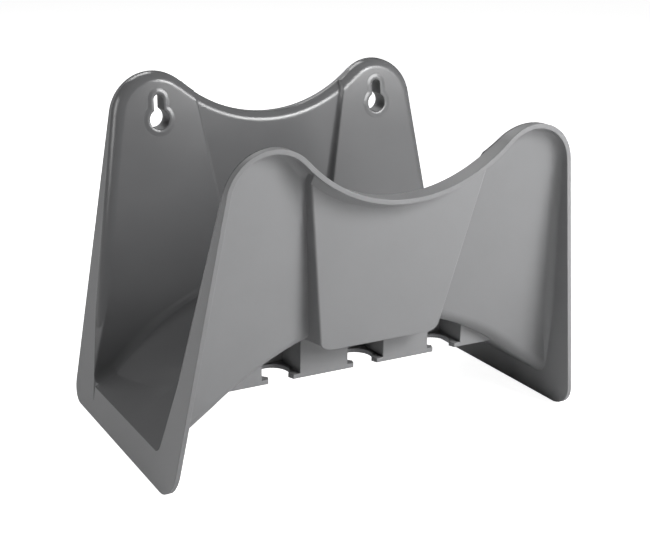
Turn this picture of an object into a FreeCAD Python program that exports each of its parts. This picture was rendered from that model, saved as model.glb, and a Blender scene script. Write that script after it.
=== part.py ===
import FreeCAD, Part
import math
import os

# Hose hanger: one thin moulded saddle, with a back plate on the wall and a guard plate in front.
# Millimetres. Origin midway between the two keyholes on the wall plane, +Y into the wall, +Z up.

V = FreeCAD.Vector
os.makedirs("parts", exist_ok=True)

# Driving dimensions of the whole moulding
wall = 2.5                # thickness of the moulding
overall_width = 250.0     # across the base
base_drop = 161.5         # keyhole centres down to the level base rim
side_lean = 0.168         # how much each side moves out per unit of drop
base_corner_back = 11.0   # rounding of the lower corners, seen from the side
base_corner_front = 16.0
front_reach = 161.4       # wall to front rim, level with the keyholes
front_lean = 0.0808       # front rim comes back towards the bottom, per unit of drop

# Outlines of the two upright plates
back_ear_radius = 25.4
back_ear_lift = 0.8       # centre of the ear arc over the keyholes
back_scoop_radius = 83.0
front_ear_radius = 24.4
front_ear_lift = -12.5
front_scoop_radius = 80.5

# Keyholes
keyhole_span = 142.2      # between the two keyholes
keyhole_bore = 11.6       # round part that the screw head passes
keyhole_slot = 5.8        # slot that holds the shank of the screw
keyhole_rise = 14.0       # centre of the round part up to the top of the slot

# Back plate, its hose side
plate_stand = 10.7        # out from the wall, level with the keyholes
plate_lean = 0.1167
back_panel_half = 46.5    # half width of the sunk middle, level with the keyholes
back_panel_taper = 0.1756
back_panel_stand = 7.7
back_panel_lean = 0.085

# Front plate, its outer side
front_panel_half = 53.5   # half width of the proud middle, level with the keyholes
front_panel_taper = 0.171
front_panel_stand = 154.35
front_panel_lean = 0.1775
front_panel_drop = 102.0
front_panel_corner = 8.0
wing_stand = 143.1
wing_spread = 0.14        # each wing comes forward towards its rim, per unit of width
wing_lean = 0.215
step_draft_back = 0.35    # sideways lean of the walls beside the sunk middle
step_draft_front = 0.15   # and of the walls beside the proud middle

# Saddle that the hose lies on
arch_radius = 150.0
arch_top = -91.5
end_height = -144.5       # where the saddle meets its end rims
end_slope_back = 0.41
end_slope_front = 0.71
end_ramp_length = 34.0
end_turn_back = 23.5      # distances from the wall between which the end slope changes
end_turn_front = 88.0

# Rounding
rim_round_back = 6.5      # hose side of the rims
rim_round_front = 4.5
root_bevel_back = 2.4     # the same corners from inside the rims
root_round_front = 4.0
rim_runout = 45.0         # height over which a rounded rim dies away above a base corner
fold_radius = 6.0         # between the saddle and the plates
fold_bevel = 5.0          # the fold at the wall, from behind
step_round = 1.2
roll_bite = 0.014         # shares of a turned roll's radius: how far it starts inside the surface,
roll_over = 1.5           # how far its cutting shape reaches past the face
roll_relief = 0.2         # and how far that stands back from the rim behind the round

# Connector holder under the saddle
holder_front = 121.5      # out from the wall
holder_depth = 22.6
holder_drop = 121.0
holder_half = 92.0
holder_wall = 2.2
pocket_width = 22.5
pocket_pitch = 51.2
pocket_count = 3
clip_radius = 9.3
clip_inset = 10.7
clip_mouth = 12.0
clip_shelf = 2.4

# Limits that only have to clear the part
overlap = 1.0
side_clearance = 35.0
base_clearance = 16.0
front_clearance = 54.0
clear_half = overall_width / 2 + side_clearance
clear_top = back_ear_lift + back_ear_radius + overlap
clear_base = -base_drop - base_clearance
clear_front = -front_reach - front_clearance
clear_back = 20.0
split_depth = -80.0       # between the two outlines, under the hose
back_outline = back_ear_radius, back_ear_lift, back_scoop_radius
front_outline = front_ear_radius, front_ear_lift, front_scoop_radius


def side_at(z):
    return overall_width / 2 - side_lean * (base_drop + z)


def rim_front_at(z):
    return -front_reach - front_lean * z


def prism(points, direction):
    wire = Part.makePolygon(points + [points[0]])
    return Part.Face(wire).extrude(direction)


def outline_centres(outline):
    # centres of the right ear's arc and of the scoop, and the slope of the line between them
    ear_radius, ear_lift, scoop_radius = outline
    ear_x = side_at(ear_lift) - ear_radius * math.hypot(1, side_lean)
    rise = math.sqrt((ear_radius + scoop_radius) ** 2 - ear_x ** 2)
    return ear_x, ear_lift + rise, math.atan2(rise, ear_x)


def outline_prism(outline, inset, y_start, y_end):
    # ears between the leaning sides and the scoop, every stretch tangent to the next
    ear_radius, ear_lift, scoop_radius = outline
    ear_x, scoop_z, join = outline_centres(outline)
    ear_r = ear_radius - inset
    scoop_r = scoop_radius + inset
    lean = math.atan(side_lean)
    low_x = side_at(clear_base) - inset * math.hypot(1, side_lean)

    def on_ear(angle, sign):
        x = sign * (ear_x + ear_r * math.cos(angle))
        return V(x, y_start, ear_lift + ear_r * math.sin(angle))

    middle = (lean + math.pi - join) / 2
    right_side = on_ear(lean, 1)
    right_join = on_ear(math.pi - join, 1)
    left_join = on_ear(math.pi - join, -1)
    left_side = on_ear(lean, -1)
    edges = [
        Part.makeLine(V(-low_x, y_start, clear_base), V(low_x, y_start, clear_base)),
        Part.makeLine(V(low_x, y_start, clear_base), right_side),
        Part.Arc(right_side, on_ear(middle, 1), right_join).toShape(),
        Part.Arc(right_join, V(0, y_start, scoop_z - scoop_r), left_join).toShape(),
        Part.Arc(left_join, on_ear(middle, -1), left_side).toShape(),
        Part.makeLine(left_side, V(-low_x, y_start, clear_base)),
    ]
    return Part.Face(Part.Wire(edges)).extrude(V(0, y_end - y_start, 0))


def envelope(inset):
    # everything inside the two outlines; the inset one stays open at the wall, front and base
    back = outline_prism(back_outline, inset, clear_back, split_depth)
    front = outline_prism(front_outline, inset, split_depth, clear_front)
    return back.fuse(front).removeSplitter()


def side_profile():
    # side view of the rims: wall plane, level base with rounded corners, leaning front
    points = [V(-clear_half, 0, clear_top), V(-clear_half, 0, -base_drop),
              V(-clear_half, rim_front_at(-base_drop), -base_drop),
              V(-clear_half, rim_front_at(clear_top), clear_top)]
    block = prism(points, V(2 * clear_half, 0, 0))
    for corner, radius in ((points[1], base_corner_back), (points[2], base_corner_front)):
        middle = V(0, corner.y, corner.z)
        edge = min(block.Edges, key=lambda e: (e.CenterOfMass - middle).Length)
        block = block.makeFillet(radius, [edge])
    return block


def grow_outline(points, grow):
    # moves every line of a closed outline outwards and joins them again
    grown = []
    count = len(points)
    for i in range(count):
        before, here, after = points[i - 1], points[i], points[(i + 1) % count]
        d1 = (here[0] - before[0], here[1] - before[1])
        d2 = (after[0] - here[0], after[1] - here[1])
        n1 = (d1[1] / math.hypot(*d1), -d1[0] / math.hypot(*d1))
        n2 = (d2[1] / math.hypot(*d2), -d2[0] / math.hypot(*d2))
        scale = grow / (1 + n1[0] * n2[0] + n1[1] * n2[1])
        grown.append((here[0] + scale * (n1[0] + n2[0]), here[1] + scale * (n1[1] + n2[1])))
    return grown


def drafted_block(low, top):
    # solid between two like plans at different heights, each given anticlockwise
    low, top = low[::-1], top[::-1]
    count = len(low)
    faces = [Part.Face(Part.makePolygon(low + low[:1])), Part.Face(Part.makePolygon(top + top[:1]))]
    for i in range(count):
        j = (i + 1) % count
        faces.append(Part.Face(Part.makePolygon([low[i], low[j], top[j], top[i], low[i]])))
    return Part.makeSolid(Part.makeShell(faces))


def leaning_space(plan, grow):
    # block whose plan changes evenly with height
    low, top = [[V(x, y, z) for x, y in grow_outline(plan(z), grow)] for z in (clear_base, clear_top)]
    return drafted_block(low, top)


# Hose sides of the two plates: ears and sunk middle at the back, wings and proud middle in front
def ear_face(z):
    return -plate_stand + plate_lean * z


def wing_face(x, z):
    return -wing_stand - wing_spread * x - wing_lean * z + wall


def sunk_face(z):
    return -back_panel_stand + back_panel_lean * z


def proud_face(z):
    return -front_panel_stand - front_panel_lean * z + wall


def main_plan(z):
    # the whole space between the plates, seen from above
    return [(-clear_half, ear_face(z)), (-clear_half, wing_face(clear_half, z)), (0, wing_face(0, z)),
            (clear_half, wing_face(clear_half, z)), (clear_half, ear_face(z))]


def back_middle_plan(z):
    # the sunk middle's share of that space, and below it everything straight through to the wall
    half = back_panel_half + back_panel_taper * z
    inner = half - step_draft_back * (sunk_face(z) - ear_face(z))
    return [(-inner, sunk_face(z)), (-half, ear_face(z)), (-half, split_depth),
            (half, split_depth), (half, ear_face(z)), (inner, sunk_face(z))]


def back_middle_reach(z):
    half = back_panel_half + back_panel_taper * z - step_draft_back * (sunk_face(z) - ear_face(z))
    return [(-half, clear_back), (-half, split_depth), (half, split_depth), (half, clear_back)]


def front_middle_plan(z):
    # the same two for the proud middle
    half = front_panel_half + front_panel_taper * z - wall
    root = half + step_draft_front * (split_depth - proud_face(z))
    return [(-root, split_depth), (-half, proud_face(z)), (half, proud_face(z)), (root, split_depth)]


def front_middle_reach(z):
    half = front_panel_half + front_panel_taper * z - wall
    return [(-half, split_depth), (-half, clear_front), (half, clear_front), (half, split_depth)]


def arch_below(grow):
    # what lies under the round floor
    return Part.makeCylinder(arch_radius - grow, clear_back - clear_front,
                             V(0, clear_front, arch_top - arch_radius), V(0, 1, 0))


def end_ramp(grow, sign):
    # straight-lined floor towards one end, flatter near the wall than near the front
    end_x = side_at(end_height)
    inner, outer = end_x - end_ramp_length, clear_half + 2 * wall

    def section(y, slope):
        drop = end_height - grow * math.hypot(1, slope)
        points = [V(sign * inner, y, drop + slope * (end_x - inner)),
                  V(sign * outer, y, drop - slope * (outer - end_x)),
                  V(sign * outer, y, 2 * clear_base), V(sign * inner, y, 2 * clear_base)]
        return Part.makePolygon(points + points[:1])

    rate = (end_slope_front - end_slope_back) / (end_turn_front - end_turn_back)
    wall_slope = end_slope_back - rate * (end_turn_back + clear_back)
    sections = [section(clear_back, wall_slope), section(-end_turn_front, end_slope_front),
                section(clear_front, end_slope_front)]
    return Part.makeLoft(sections, True, True)


def upright_edges(shape):
    # the leaning corner edges, from base to top, apart from those at the far sides
    return [e for e in shape.Edges if abs(e.Vertexes[0].Z - e.Vertexes[-1].Z) > base_drop / 2
            and abs(e.Vertexes[0].X) < clear_half / 2]


def saddle_edges(shape):
    # edges below the crown and above the base that run more along X than along Y
    found = []
    for e in shape.Edges:
        a, b = e.Vertexes[0], e.Vertexes[-1]
        level = clear_base + overlap < max(a.Z, b.Z) < arch_top + wall
        if level and abs(a.X - b.X) > abs(a.Y - b.Y) + fold_radius:
            found.append(e)
    return found


def wall_folds(shape):
    behind_y = ear_face(clear_base) - wall
    return [e for e in saddle_edges(shape) if e.CenterOfMass.y > behind_y]


def front_folds(shape):
    before_y = -end_turn_front - fold_radius
    return [e for e in saddle_edges(shape) if e.CenterOfMass.y < before_y]


def behind(face_at):
    # plan of everything on the wall's side of a face
    return lambda z: [(-clear_half, clear_back), (-clear_half, face_at(-clear_half, z)),
                      (clear_half, face_at(clear_half, z)), (clear_half, clear_back)]


def before(face_at):
    # plan of everything on the front side of a face
    return lambda z: [(-clear_half, face_at(-clear_half, z)), (-clear_half, clear_front),
                      (clear_half, clear_front), (clear_half, face_at(clear_half, z))]


def rim_offcut(upright, plan, size, grow, rounded):
    # what a rounding or bevel takes off the rim of an upright plate, whose hose side follows the plan
    pad = upright.cut(leaning_space(plan, grow))
    face = min(pad.Faces, key=lambda f: abs(f.CenterOfMass.y - split_depth))
    edges = [e for e in face.Edges if max(v.Z for v in e.Vertexes) > -base_drop]
    return pad.cut(pad.makeFillet(size, edges) if rounded else pad.makeChamfer(size, edges))


def runout(face_at, sign, depthwise, size, grow):
    # the rim's rounding dies away towards the base corner along a slanting plane
    low = end_height + fold_radius
    high = low + rim_runout
    inward = V(-sign, depthwise, 0)
    foot = V(sign * side_at(low), face_at(sign * side_at(low), low), low) + inward * grow
    top = V(sign * side_at(high), face_at(sign * side_at(high), high), high) + inward * (grow + size / 2)
    level = V(top.x - foot.x, top.y - foot.y, 0).normalize()
    across = V(level.y, -level.x, 0) * rim_runout
    start = foot - (top - foot)
    far = top + level * rim_runout
    points = [start, top, far, V(far.x, far.y, clear_base), V(start.x, start.y, clear_base)]
    return prism([p - across for p in points], across * 2)


def roll_section(centre, out, normal, reach, radius, sign):
    # corner left over outside a quarter circle that meets both surfaces almost tangentially
    def at(across, along):
        return centre + out * (reach - sign * across) + normal * (along + roll_bite * radius)

    half_way = radius * math.sqrt(0.5)
    arc = Part.Arc(at(0, 0), at(radius - half_way, half_way), at(radius, radius)).toShape()
    over = roll_over * radius
    corner = [at(radius, radius), at(radius, over), at(-radius, over), at(-radius, -radius),
              at(-roll_relief * radius, -radius), at(0, 0)]
    return Part.Face(Part.Wire([arc] + Part.makePolygon(corner).Edges))


def turned_both_ways(section, centre, axis, half_angle):
    # a section in the middle plane, swept the same angle to each side
    turned = section.revolve(centre, axis, math.degrees(2 * half_angle))
    turned.rotate(centre, axis, -math.degrees(half_angle))
    return turned


def scoop_roll(face_at, lean):
    # rounded rim along the scoop of the back plate, from ear to ear
    ear_x, scoop_z, join = outline_centres(back_outline)
    centre = V(0, face_at(scoop_z) + rim_round_back * math.hypot(1, lean), scoop_z)
    section = roll_section(centre, V(0, -lean, -1).normalize(), V(0, -1, lean).normalize(),
                           back_scoop_radius, rim_round_back, -1)
    return turned_both_ways(section, centre, V(0, -1, lean), math.pi / 2 - join)


def ear_roll():
    # rounded rim round the right ear and down the side below it
    ear_x, scoop_z, join = outline_centres(back_outline)
    centre = V(ear_x, ear_face(back_ear_lift) + rim_round_back * math.hypot(1, plate_lean), back_ear_lift)
    normal = V(0, -1, plate_lean).normalize()
    edge = V(-side_lean, plate_lean, 1).normalize()
    section = roll_section(centre, edge.cross(normal), normal, back_ear_radius, rim_round_back, 1)
    side = section.extrude(-edge * base_drop)
    side = side.cut(runout(lambda x, z: ear_face(z), 1, 1, rim_round_back, 0))
    return [section.revolve(centre, normal, math.degrees(math.pi - join - math.atan(side_lean))), side]


def mirrored(shapes):
    # the shapes and their likenesses on the other side
    return shapes + [s.mirror(V(0, 0, 0), V(1, 0, 0)) for s in shapes]


def back_rim_rounding():
    # what the round takes off the hose side of the back rim
    middle = scoop_roll(sunk_face, back_panel_lean).common(leaning_space(back_middle_reach, 0))
    return mirrored(ear_roll()) + [scoop_roll(ear_face, plate_lean), middle]


def back_root_bevel():
    # the same corners seen from the wall
    upright = outline_prism(back_outline, wall, clear_back, split_depth)
    ears = rim_offcut(upright, before(lambda x, z: ear_face(z)), root_bevel_back, wall, False)
    ears = ears.cut([runout(lambda x, z: ear_face(z), sign, 1, root_bevel_back, wall) for sign in (-1, 1)])
    middle = rim_offcut(upright, before(lambda x, z: sunk_face(z)), root_bevel_back, wall, False)
    return [ears, middle.common(leaning_space(back_middle_reach, wall))]


def front_rim_work(grow, size, middle_rounded):
    # rounded corners of the wings, and the rounded or bevelled one of the proud middle
    upright = outline_prism(front_outline, grow, split_depth, clear_front)
    wing = rim_offcut(upright, behind(wing_face), size, grow, True)
    wing = wing.cut(runout(wing_face, 1, -1, size, grow))
    right_corner = V(front_panel_half / 2, clear_front, -clear_half)
    wing = wing.common(Part.makeBox(clear_half, -clear_front, 2 * clear_half, right_corner))
    middle = rim_offcut(upright, behind(lambda x, z: proud_face(z)), size, grow, middle_rounded)
    return mirrored([wing]) + [middle.common(leaning_space(front_middle_reach, grow))]


def wall_fold():
    # turned fold where the arch meets the back plate
    axis_z = arch_top - arch_radius
    centre = V(0, ear_face(axis_z) - fold_radius * math.hypot(1, plate_lean), axis_z)
    section = roll_section(centre, V(0, plate_lean, 1).normalize(), V(0, 1, -plate_lean).normalize(),
                           arch_radius, fold_radius, -1)
    half_angle = math.asin(side_at(arch_top) / arch_radius)
    return turned_both_ways(section, centre, V(0, 1, -plate_lean), half_angle)


def folded_arch(space, grow):
    # round folds, with a flat bevel behind the one at the wall
    arched = space.cut(arch_below(grow)).Solids[0]
    if grow:
        arched = arched.makeChamfer(fold_bevel, wall_folds(arched))
    else:
        arched = arched.cut(wall_fold())
    return arched.makeFillet(fold_radius + grow, front_folds(arched))


def folded_ramps(space, grow):
    # the same folds along the end ramps
    ramped = space.cut([end_ramp(grow, 1), end_ramp(grow, -1)]).Solids[0]
    if grow:
        ramped = ramped.makeChamfer(fold_bevel, wall_folds(ramped))
        return ramped.makeFillet(fold_radius + grow, front_folds(ramped))
    return ramped.makeFillet(fold_radius, wall_folds(ramped) + front_folds(ramped))


def hose_space(grow):
    # between the plates, over the arch and the end ramps, with the two middles let into the plates
    space = leaning_space(main_plan, grow)
    middles = [leaning_space(plan, grow) for plan in (back_middle_plan, front_middle_plan)]
    middles = [m.makeFillet(step_round, upright_edges(m)).cut(arch_below(grow)) for m in middles]
    return folded_arch(space, grow).common(folded_ramps(space, grow)).fuse(middles).removeSplitter()


def keyhole(sign, grow):
    # round part with the slot above it, through towards the wall
    x = sign * keyhole_span / 2
    length = clear_back * 2
    top = keyhole_rise - keyhole_slot / 2
    radius = keyhole_slot / 2 + grow
    bore = Part.makeCylinder(keyhole_bore / 2 + grow, length, V(x, -clear_back, 0), V(0, 1, 0))
    slot_end = Part.makeCylinder(radius, length, V(x, -clear_back, top), V(0, 1, 0))
    slot = Part.makeBox(2 * radius, length, top, V(x - radius, -clear_back, 0))
    return bore.fuse([slot_end, slot]).removeSplitter()


def keyhole_collars():
    # the keyhole's wall stands off the back of the ear as far as the wall plane
    corner = V(-clear_half, -clear_back, -clear_half)
    slab = Part.makeBox(2 * clear_half, clear_back, 2 * clear_half, corner)
    return [keyhole(sign, wall).common(slab) for sign in (-1, 1)]


def clip_notch(x):
    # open ring that the hose connector snaps into, with a flared mouth
    y = -holder_front + clip_inset
    lip = clip_mouth / 2
    lip_y = y - math.sqrt(clip_radius ** 2 - lip ** 2)
    flare = lip + (lip_y + holder_front) / 2
    front = -holder_front - overlap
    base = -holder_drop - overlap
    height = clip_shelf + 2 * overlap
    ring = Part.makeCylinder(clip_radius, height, V(x, y, base))
    mouth = prism([V(x - lip, y, base), V(x - lip, lip_y, base), V(x - flare, front, base),
                   V(x + flare, front, base), V(x + lip, lip_y, base), V(x + lip, y, base)],
                  V(0, 0, height))
    return ring.fuse(mouth)


def connector_holder():
    # row of hollow boxes under the saddle with an open pocket between each two
    height = arch_top + wall + holder_drop
    corner = V(-holder_half, -holder_front, -holder_drop)
    block = Part.makeBox(2 * holder_half, holder_depth, height, corner)
    first = -pocket_pitch * (pocket_count - 1) / 2
    centres = [first + i * pocket_pitch for i in range(pocket_count)]
    tools = []
    for x in centres:
        corner = V(x - pocket_width / 2, -holder_front - overlap, -holder_drop + clip_shelf)
        tools.append(Part.makeBox(pocket_width, holder_depth - holder_wall + overlap, height, corner))
        tools.append(clip_notch(x))
    edges = [-holder_half - holder_wall]
    for x in centres:
        edges += [x - pocket_width / 2, x + pocket_width / 2]
    edges.append(holder_half + holder_wall)
    for left, right in zip(edges[::2], edges[1::2]):
        width = right - left - 2 * holder_wall
        corner = V(left + holder_wall, -holder_front + holder_wall, -holder_drop - overlap)
        tools.append(Part.makeBox(width, holder_depth - 2 * holder_wall, height, corner))
    return block.cut(tools)


def front_skirt():
    # the proud middle of the front plate hangs a little below the saddle, with rounded lower corners
    low = -front_panel_drop
    high = arch_top + fold_radius
    outer = leaning_space(front_middle_plan, wall)
    outer = outer.makeFillet(step_round, upright_edges(outer))
    half_low = front_panel_half + front_panel_taper * low
    half_high = front_panel_half + front_panel_taper * high
    below = prism([V(-half_low, clear_front, low), V(half_low, clear_front, low),
                   V(half_high, clear_front, high), V(-half_high, clear_front, high)],
                  V(0, -holder_front - clear_front, 0))
    corners = [e for e in below.Edges if e.BoundBox.ZMax < low + wall and e.BoundBox.YLength > wall]
    below = below.makeFillet(front_panel_corner, corners)
    return outer.common(below).cut(leaning_space(front_middle_plan, 0))


def hose_hanger():
    space = hose_space(0)
    outer_work = back_rim_rounding() + front_rim_work(0, rim_round_front, True)
    block = envelope(0).common(side_profile()).cut([space] + outer_work)
    root_work = back_root_bevel() + front_rim_work(wall, root_round_front, False)
    shell = block.cut(envelope(wall).cut([hose_space(wall)] + root_work))
    body = shell.fuse(keyhole_collars() + [connector_holder(), front_skirt()])
    return body.cut([space, keyhole(-1, 0), keyhole(1, 0)])


if __name__ == "__main__":
    hanger = hose_hanger()
    hanger.exportStep("parts/hose_hanger.step")
    print("hose hanger:", len(hanger.Solids), "solid,", len(hanger.Faces), "faces, valid", hanger.isValid())
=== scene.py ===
import math

import bpy
import numpy as np
from mathutils import Matrix, Vector


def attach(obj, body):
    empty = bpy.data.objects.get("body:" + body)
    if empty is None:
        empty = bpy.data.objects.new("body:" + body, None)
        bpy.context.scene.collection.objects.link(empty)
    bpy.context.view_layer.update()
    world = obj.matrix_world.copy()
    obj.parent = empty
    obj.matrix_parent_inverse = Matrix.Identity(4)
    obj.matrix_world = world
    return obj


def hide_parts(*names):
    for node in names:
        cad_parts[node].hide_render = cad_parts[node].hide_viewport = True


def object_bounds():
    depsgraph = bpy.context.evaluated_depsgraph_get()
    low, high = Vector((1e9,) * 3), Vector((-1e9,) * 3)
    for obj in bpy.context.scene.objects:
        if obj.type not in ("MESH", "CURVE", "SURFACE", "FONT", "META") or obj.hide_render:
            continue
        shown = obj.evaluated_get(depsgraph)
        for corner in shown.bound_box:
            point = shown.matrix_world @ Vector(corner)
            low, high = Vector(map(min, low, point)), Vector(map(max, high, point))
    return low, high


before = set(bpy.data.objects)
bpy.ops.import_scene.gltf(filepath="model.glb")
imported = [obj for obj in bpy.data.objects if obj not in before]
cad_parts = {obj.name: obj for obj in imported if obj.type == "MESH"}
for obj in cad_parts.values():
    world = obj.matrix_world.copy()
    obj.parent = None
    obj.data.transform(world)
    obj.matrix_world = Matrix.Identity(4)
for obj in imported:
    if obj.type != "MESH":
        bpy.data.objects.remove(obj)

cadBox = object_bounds()          # the CAD model's own box, before anything is dressed


def newGroup(name, inputs, outputs):
    group = bpy.data.node_groups.new(name, "ShaderNodeTree")
    for socketName, socketType in inputs:
        group.interface.new_socket(socketName, in_out="INPUT", socket_type=socketType)
    for socketName, socketType in outputs:
        group.interface.new_socket(socketName, in_out="OUTPUT", socket_type=socketType)
    return group, group.nodes.new("NodeGroupInput"), group.nodes.new("NodeGroupOutput")


def mathNode(tree, operation, first, second):
    node = tree.nodes.new("ShaderNodeMath")
    node.operation = operation
    for socket, value in zip(node.inputs, (first, second)):
        if isinstance(value, (int, float)):
            socket.default_value = value
        else:
            tree.links.new(value, socket)
    return node.outputs[0]


def noiseNode(tree, place, scale, detail):
    node = tree.nodes.new("ShaderNodeTexNoise")
    node.inputs["Detail"].default_value = detail
    tree.links.new(place, node.inputs["Vector"])
    tree.links.new(scale, node.inputs["Scale"])
    return node.outputs["Fac"]


# polished hose side, darker than the outside: partly the polish, partly painted shade for the inside of
# the saddle
hoseSide = {
    "colour": (0.141, 0.142, 0.145),
    "colourDrift": 0.05,          # share by which the colour wanders
    "roughness": 0.18,
    "roughnessDrift": 0.04,
    "speckle": 0.1,               # share of the drift that follows the grain
    "driftSize": 38.0,            # blotches per metre
    "grainSize": 900.0,           # grains per metre
    "grainHeight": 0.00001,
    "edgeRound": 0.0020,          # wide, to soften the crease where the rims start to roll
}

# finely grained outside
outside = {
    "colour": (0.205, 0.206, 0.210),
    "colourDrift": 0.05,
    "roughness": 0.50,
    "roughnessDrift": 0.07,
    "speckle": 1.2,
    "driftSize": 30.0,
    "grainSize": 1700.0,
    "grainHeight": 0.00006,
    "edgeRound": 0.0006,
}

# what both finishes share
finish = {
    "driftDetail": 2.0,
    "grainDetail": 3.0,
    "noiseMiddle": 0.5,           # the noise swings about this
    "driftWeight": 2.0,           # how much the slow noise counts beside the fine one
    "roundSamples": 6,
}


def mouldedSurfaceGroup():
    # slow drift of colour and gloss as melt flow leaves it, and the grain of the tool
    group, given, put = newGroup(
        "mouldedSurface",
        [("Place", "NodeSocketVector"), ("Colour", "NodeSocketColor"),
         ("Colour Drift", "NodeSocketFloat"), ("Roughness", "NodeSocketFloat"),
         ("Roughness Drift", "NodeSocketFloat"), ("Speckle", "NodeSocketFloat"),
         ("Drift Size", "NodeSocketFloat"), ("Grain Size", "NodeSocketFloat")],
        [("Colour", "NodeSocketColor"), ("Roughness", "NodeSocketFloat"),
         ("Grain", "NodeSocketFloat")])
    place = given.outputs["Place"]
    drift = noiseNode(group, place, given.outputs["Drift Size"], finish["driftDetail"])
    grain = noiseNode(group, place, given.outputs["Grain Size"], finish["grainDetail"])
    swing = mathNode(group, "SUBTRACT", drift, finish["noiseMiddle"])
    speckle = mathNode(group, "SUBTRACT", grain, finish["noiseMiddle"])
    # colour times (1 + drift share * (weighted slow noise + a share of the fine one)), and
    # roughness plus its own drift share of the same noise
    slow = mathNode(group, "MULTIPLY", swing, finish["driftWeight"])
    fine = mathNode(group, "MULTIPLY", speckle, given.outputs["Speckle"])
    both = mathNode(group, "ADD", slow, fine)
    tint = mathNode(group, "MULTIPLY_ADD", both, given.outputs["Colour Drift"])
    tint.node.inputs[2].default_value = 1.0
    mixed = group.nodes.new("ShaderNodeVectorMath")
    mixed.operation = "SCALE"
    group.links.new(given.outputs["Colour"], mixed.inputs[0])
    group.links.new(tint, mixed.inputs["Scale"])
    gloss = mathNode(group, "MULTIPLY_ADD", both, given.outputs["Roughness Drift"])
    group.links.new(given.outputs["Roughness"], gloss.node.inputs[2])
    group.links.new(mixed.outputs[0], put.inputs["Colour"])
    group.links.new(gloss, put.inputs["Roughness"])
    group.links.new(grain, put.inputs["Grain"])
    return group


def mouldedMaterial(name, look, group):
    material = bpy.data.materials.new(name)
    material.use_nodes = True
    tree = material.node_tree
    shader = tree.nodes["Principled BSDF"]
    place = tree.nodes.new("ShaderNodeTexCoord").outputs["Object"]
    surface = tree.nodes.new("ShaderNodeGroup")
    surface.node_tree = group
    tree.links.new(place, surface.inputs["Place"])
    surface.inputs["Colour"].default_value = (*look["colour"], 1.0)
    surface.inputs["Colour Drift"].default_value = look["colourDrift"]
    surface.inputs["Roughness"].default_value = look["roughness"]
    surface.inputs["Roughness Drift"].default_value = look["roughnessDrift"]
    surface.inputs["Speckle"].default_value = look["speckle"]
    surface.inputs["Drift Size"].default_value = look["driftSize"]
    surface.inputs["Grain Size"].default_value = look["grainSize"]
    tree.links.new(surface.outputs["Colour"], shader.inputs["Base Color"])
    tree.links.new(surface.outputs["Roughness"], shader.inputs["Roughness"])
    rounding = tree.nodes.new("ShaderNodeBevel")      # softens the moulding's hard edges
    rounding.samples = finish["roundSamples"]
    rounding.inputs["Radius"].default_value = look["edgeRound"]
    bump = tree.nodes.new("ShaderNodeBump")
    bump.inputs["Strength"].default_value = 1.0
    bump.inputs["Distance"].default_value = look["grainHeight"]
    tree.links.new(surface.outputs["Grain"], bump.inputs["Height"])
    tree.links.new(rounding.outputs["Normal"], bump.inputs["Normal"])
    tree.links.new(bump.outputs["Normal"], shader.inputs["Normal"])
    return material


# the moulding: one shell, polished where the hose lies, with a darker colour there that is partly
# painted shade, grained everywhere else
moulding = {
    "mergeStep": 1e-6,            # metres, corners closer than this are one point
    "wallThickness": 0.0025,
    "splitDepth": -0.080,         # between the back plate and the front one
    "leastTurn": 0.03,            # a plate's face is polished once it turns this much to the hose
    "floorTurn": 0.25,            # and the floor's once it looks up this much
    "floorBand": 0.0015,          # height over the floor that still counts as floor
    "archRadius": 0.150,
    "archTop": -0.0915,
    "rampHeight": -0.1445,        # where the end ramps meet the sides
    "rampEnd": 0.1221,
    "rampStart": 0.078,           # nearer the middle than this the floor is all arch
    "rampSlopeBack": 0.41,
    "rampSlopeFront": 0.71,
    "rampTurnBack": -0.0235,      # depths between which the slope changes
    "rampTurnFront": -0.088,
    "leastLength": 1e-15,         # keeps a face of no area from dividing by nothing
}


def readTriangles(mesh):
    # where the points are, which three points each face joins, and each corner's own normal
    places = np.empty(len(mesh.vertices) * 3, np.float64)
    corners = np.empty(len(mesh.loops), np.int64)
    normals = np.empty(len(mesh.loops) * 3, np.float32)
    mesh.vertices.foreach_get("co", places)
    mesh.loops.foreach_get("vertex_index", corners)
    mesh.corner_normals.foreach_get("vector", normals)
    return places.reshape(-1, 3), corners.reshape(-1, 3), normals.reshape(-1, 3)


def floorHeight(x, y):
    # a round arch, top - R + sqrt(R^2 - x^2), and beyond rampStart a straight ramp where that is
    # higher, whose slope changes evenly from the back plate to the front one
    m = moulding
    across = np.abs(x)
    reach = np.minimum(across, cadBox[1][0])
    arch = m["archTop"] - m["archRadius"] + np.sqrt(m["archRadius"] ** 2 - reach ** 2)
    share = np.clip((y - m["rampTurnBack"]) / (m["rampTurnFront"] - m["rampTurnBack"]), 0, 1)
    slope = m["rampSlopeBack"] + share * (m["rampSlopeFront"] - m["rampSlopeBack"])
    ramp = m["rampHeight"] + slope * (m["rampEnd"] - across)
    return np.where(across > m["rampStart"], np.maximum(arch, ramp), arch)


def polishedFacesWithPaintedShade(centres, facings):
    # higher than halfway down into the saddle's wall, and either a face of a plate that turns towards
    # the hose or a part of the floor that looks up; these faces get the polish and a darker colour that
    # is partly painted shade
    x, y, z = centres.T
    height = z - floorHeight(x, y)
    atBack = (y > moulding["splitDepth"]) & (facings[:, 1] < -moulding["leastTurn"])
    atFront = (y <= moulding["splitDepth"]) & (facings[:, 1] > moulding["leastTurn"])
    onFloor = (height < moulding["floorBand"]) & (facings[:, 2] > moulding["floorTurn"])
    return (height > -moulding["wallThickness"] / 2) & (atBack | atFront | onFloor)


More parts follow.
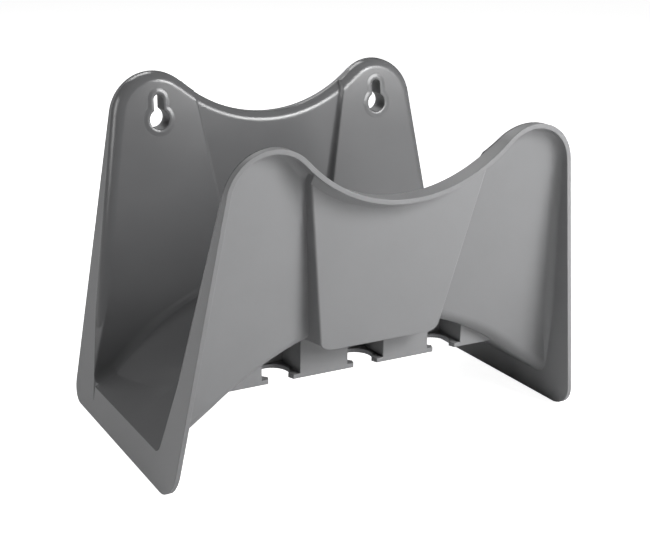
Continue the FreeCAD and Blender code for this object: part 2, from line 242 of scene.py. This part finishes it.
def buildMoulding(grained, polishedWithPaintedShade):
    # the CAD triangles with equal corners merged; each corner keeps its exact normal
    places, corners, normals = readTriangles(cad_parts["hose_hanger"].data)
    steps = np.round(places / moulding["mergeStep"]).astype(np.int64)
    kept, first, merged = np.unique(steps, axis=0, return_index=True, return_inverse=True)
    triangles = merged.reshape(-1)[corners]
    p, q, r = triangles.T
    whole = (p != q) & (q != r) & (p != r)
    triangles = triangles[whole]
    normals = normals.reshape(-1, 3, 3)[whole].reshape(-1, 3)
    mesh = bpy.data.meshes.new("moulding")
    mesh.from_pydata(places[first], [], triangles)
    mesh.polygons.foreach_set("use_smooth", np.ones(len(triangles), bool))
    mesh.normals_split_custom_set(normals)
    a, b, c = (places[first][triangles[:, k]] for k in range(3))
    facings = np.cross(b - a, c - a)
    facings /= np.maximum(np.linalg.norm(facings, axis=1), moulding["leastLength"])[:, None]
    onHoseSide = polishedFacesWithPaintedShade((a + b + c) / 3, facings)
    mesh.materials.append(grained)
    mesh.materials.append(polishedWithPaintedShade)
    mesh.polygons.foreach_set("material_index", onHoseSide.astype(np.int32))
    mesh.update()
    piece = bpy.data.objects.new("moulding", mesh)
    bpy.context.collection.objects.link(piece)
    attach(piece, "root")
    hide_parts("hose_hanger")
    print("moulding:", len(kept), "points,", len(triangles), "faces,", int(onHoseSide.sum()), "polishedWithPaintedShade")


# soft raised lip round each keyhole, on the hose side of the ears
keyholeLip = {
    "centres": (-0.0711, 0.0711),
    "boreRadius": 0.0058,
    "slotHalf": 0.0029,
    "slotTop": 0.0111,            # centre of the slot's round end
    "plateStand": -0.0107,        # the ear's face is y = stand + lean * z
    "plateLean": 0.1167,
    "height": 0.00020,
    "crest": 0.0013,              # how far out from the opening the lip is highest
    "reach": 0.0034,
    "root": -0.0004,              # the skin closes this deep under the face
    "gap": 0.00003,               # from the edge of the opening to the skin
    "steps": (72, 10, 36),        # round the bore, up each side of the slot, over its end
    "rings": 22,
    "riseShare": 3,               # one ring in so many lies before the crest
    "edgeRound": 0.0002,
}


def keyholeOutline(out):
    # outline of the keyhole moved out by the distances in out, as x and z arrays of one row for
    # each distance: down round the bore, up the left side of the slot, over its end and down again
    k = keyholeLip
    bore, half = k["boreRadius"] + out[:, None], k["slotHalf"] + out[:, None]
    join = np.arccos(half / bore)
    low = np.sqrt(bore ** 2 - half ** 2)
    turn, side, end = (np.linspace(0, 1, count, endpoint=False)[None, :] for count in k["steps"])
    angle = join - turn * (2 * join + np.pi)
    over = np.pi * (1 - end)
    left = low + side * (k["slotTop"] - low)
    right = k["slotTop"] + side * (low - k["slotTop"])
    x = np.hstack([bore * np.cos(angle), -half + 0 * side, half * np.cos(over), half + 0 * side])
    z = np.hstack([bore * np.sin(angle), left, k["slotTop"] + half * np.sin(over), right])
    return x, z


def lipProfile():
    # distance out and height: a quarter ellipse up to the crest, a squared cosine fall to the
    # face, and straight back under the face to close the skin
    k = keyholeLip
    rising = k["rings"] // k["riseShare"]
    rise = np.linspace(0, np.pi / 2, rising, endpoint=False)
    fall = np.linspace(0, 1, k["rings"] - rising)
    out = np.concatenate([k["crest"] * (1 - np.cos(rise)),
                          k["crest"] + fall * (k["reach"] - k["crest"])])
    lift = np.concatenate([k["height"] * np.sin(rise),
                           k["height"] * np.cos(fall * np.pi / 2) ** 2])
    out = np.concatenate([out, [k["reach"], out[0]]]) + k["gap"]
    lift = np.concatenate([lift, [k["root"], k["root"]]])
    return out, lift


def buildKeyholeLips(material):
    # the profile carried round the outline: one row of points for each distance out, lifted off
    # the ear's face along its normal (0, -1, lean) by the profile's height there
    k = keyholeLip
    out, lift = lipProfile()
    x, z = keyholeOutline(out)
    normal = np.array([0, -1, k["plateLean"]]) / math.hypot(1, k["plateLean"])
    rows, columns = x.shape
    onFace = np.stack([x, k["plateStand"] + k["plateLean"] * z, z], axis=-1)
    places = onFace + lift[:, None, None] * normal
    i, j = np.meshgrid(np.arange(rows), np.arange(columns), indexing="ij")
    nextRow, nextColumn = (i + 1) % rows, (j + 1) % columns
    quads = np.stack([i * columns + j, i * columns + nextColumn, nextRow * columns + nextColumn,
                      nextRow * columns + j], axis=-1).reshape(-1, 4)
    both = [places.reshape(-1, 3) + (centre, 0, 0) for centre in k["centres"]]
    mesh = bpy.data.meshes.new("keyholeLips")
    mesh.from_pydata(np.vstack(both), [], np.vstack([quads, quads + rows * columns]))
    mesh.polygons.foreach_set("use_smooth", np.ones(len(mesh.polygons), bool))
    mesh.materials.append(material)
    mesh.update()
    piece = bpy.data.objects.new("keyholeLips", mesh)
    bpy.context.collection.objects.link(piece)
    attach(piece, "root")
    print("keyhole lips:", len(mesh.polygons), "faces")


# camera solved from the photograph, in the CAD frame
photoCamera = {
    "place": (-0.3190, -0.6409, 0.1232),
    "azimuth": -29.439,
    "elevation": 17.644,
    "roll": 0.881,
    "lens": 66.87,                # millimetres, as the sensor's width is
    "sensorWidth": 36.0,
    "nearest": 0.01,
}


def placeCamera():
    # turned to its azimuth, raised to its elevation, then rolled about its own line of sight
    a, e, r = (math.radians(photoCamera[k]) for k in ("azimuth", "elevation", "roll"))
    back = Vector((math.sin(a) * math.cos(e), -math.cos(a) * math.cos(e), math.sin(e)))
    right = (-back).cross(Vector((0, 0, 1))).normalized()
    up = right.cross(-back)
    rolledRight = math.cos(r) * right + math.sin(r) * up
    rolledUp = -math.sin(r) * right + math.cos(r) * up
    camera = bpy.data.objects.new("photoCamera", bpy.data.cameras.new("photoCamera"))
    bpy.context.collection.objects.link(camera)
    turn = Matrix((rolledRight, rolledUp, back)).transposed().to_4x4()
    camera.matrix_world = Matrix.Translation(Vector(photoCamera["place"])) @ turn
    camera.data.lens = photoCamera["lens"]
    camera.data.sensor_width = photoCamera["sensorWidth"]
    camera.data.clip_start = photoCamera["nearest"]
    bpy.context.scene.camera = camera
    print("camera placed")


# pale floor and soft lights round the object
studio = {
    "floorGap": 0.0004,
    "floorSize": 12.0,
    "floorColour": (0.90, 0.90, 0.90, 1.0),
    "floorRoughness": 0.8,
    "floorGlow": 0.92,            # keeps the floor pale to the camera, and lights nothing
    "roomLight": 0.05,
    "backdrop": 1.0,
    "aim": (0.0, -0.08, -0.05),
    "white": (1, 1, 1, 1),
}

# angles in degrees as the camera's are, distance and size in metres, power in watts
lamps = {
    "keyFront": {"azimuth": 32, "elevation": 23, "distance": 0.66, "size": 0.30, "power": 3.4},
    "lowRight": {"azimuth": 40, "elevation": 7, "distance": 0.66, "size": 0.50, "power": 0.8},
    "midFront": {"azimuth": 30, "elevation": 34, "distance": 0.66, "size": 0.16, "power": 1.4},
    "rimLeft": {"azimuth": -100, "elevation": 20, "distance": 1.6, "size": 0.8, "power": 9.2},
    "backTop": {"azimuth": 180, "elevation": 50, "distance": 1.6, "size": 0.8, "power": 10.5},
}


def buildFloor():
    half = studio["floorSize"] / 2
    level = cadBox[0][2] - studio["floorGap"]
    corners = [(-half, -half, level), (half, -half, level), (half, half, level), (-half, half, level)]
    mesh = bpy.data.meshes.new("studioFloor")
    mesh.from_pydata(corners, [], [(0, 1, 2, 3)])
    floor = bpy.data.objects.new("studioFloor", mesh)
    bpy.context.collection.objects.link(floor)
    material = bpy.data.materials.new("paleFloor")
    material.use_nodes = True
    tree = material.node_tree
    shader = tree.nodes["Principled BSDF"]
    shader.inputs["Base Color"].default_value = studio["floorColour"]
    shader.inputs["Roughness"].default_value = studio["floorRoughness"]
    shader.inputs["Emission Color"].default_value = studio["white"]
    seen = tree.nodes.new("ShaderNodeLightPath").outputs["Is Camera Ray"]
    glow = mathNode(tree, "MULTIPLY", seen, studio["floorGlow"])
    tree.links.new(glow, shader.inputs["Emission Strength"])
    mesh.materials.append(material)
    print("floor laid")


def lightRoom():
    # white to the camera, and only a little light for everything else
    world = bpy.data.worlds.new("softRoom")
    bpy.context.scene.world = world
    world.use_nodes = True
    tree = world.node_tree
    room = tree.nodes["Background"]
    room.inputs["Strength"].default_value = studio["roomLight"]
    room.inputs["Color"].default_value = studio["white"]
    backdrop = tree.nodes.new("ShaderNodeBackground")
    backdrop.inputs["Strength"].default_value = studio["backdrop"]
    backdrop.inputs["Color"].default_value = studio["white"]
    seen = tree.nodes.new("ShaderNodeLightPath").outputs["Is Camera Ray"]
    mix = tree.nodes.new("ShaderNodeMixShader")
    tree.links.new(seen, mix.inputs[0])
    tree.links.new(room.outputs[0], mix.inputs[1])
    tree.links.new(backdrop.outputs[0], mix.inputs[2])
    tree.links.new(mix.outputs[0], tree.nodes["World Output"].inputs["Surface"])


def placeLamps():
    aim = Vector(studio["aim"])
    for name, lamp in lamps.items():                  # each faces the aim
        a, e = math.radians(lamp["azimuth"]), math.radians(lamp["elevation"])
        away = Vector((math.sin(a) * math.cos(e), -math.cos(a) * math.cos(e), math.sin(e)))
        light = bpy.data.lights.new(name, "AREA")
        light.size = lamp["size"]
        light.energy = lamp["power"]
        holder = bpy.data.objects.new(name, light)
        bpy.context.collection.objects.link(holder)
        holder.location = aim + away * lamp["distance"]
        holder.rotation_euler = (-away).to_track_quat("-Z", "Y").to_euler()
    print("studio lit")


surfaceGroup = mouldedSurfaceGroup()
grainedOutside = mouldedMaterial("grainedOutside", outside, surfaceGroup)
# the hose side's material: polish, and a darker colour that is partly painted shade for the saddle's
# inside
polishedHoseSideWithPaintedShade = mouldedMaterial("polishedHoseSideWithPaintedShade", hoseSide, surfaceGroup)
lipLook = dict(hoseSide, edgeRound=keyholeLip["edgeRound"])
polishedLipWithPaintedShade = mouldedMaterial("polishedLipWithPaintedShade", lipLook, surfaceGroup)
print("materials made")
buildMoulding(grainedOutside, polishedHoseSideWithPaintedShade)
buildKeyholeLips(polishedLipWithPaintedShade)
placeCamera()
buildFloor()
lightRoom()
placeLamps()
bpy.context.scene.view_settings.view_transform = "Standard"      # keeps the floor white
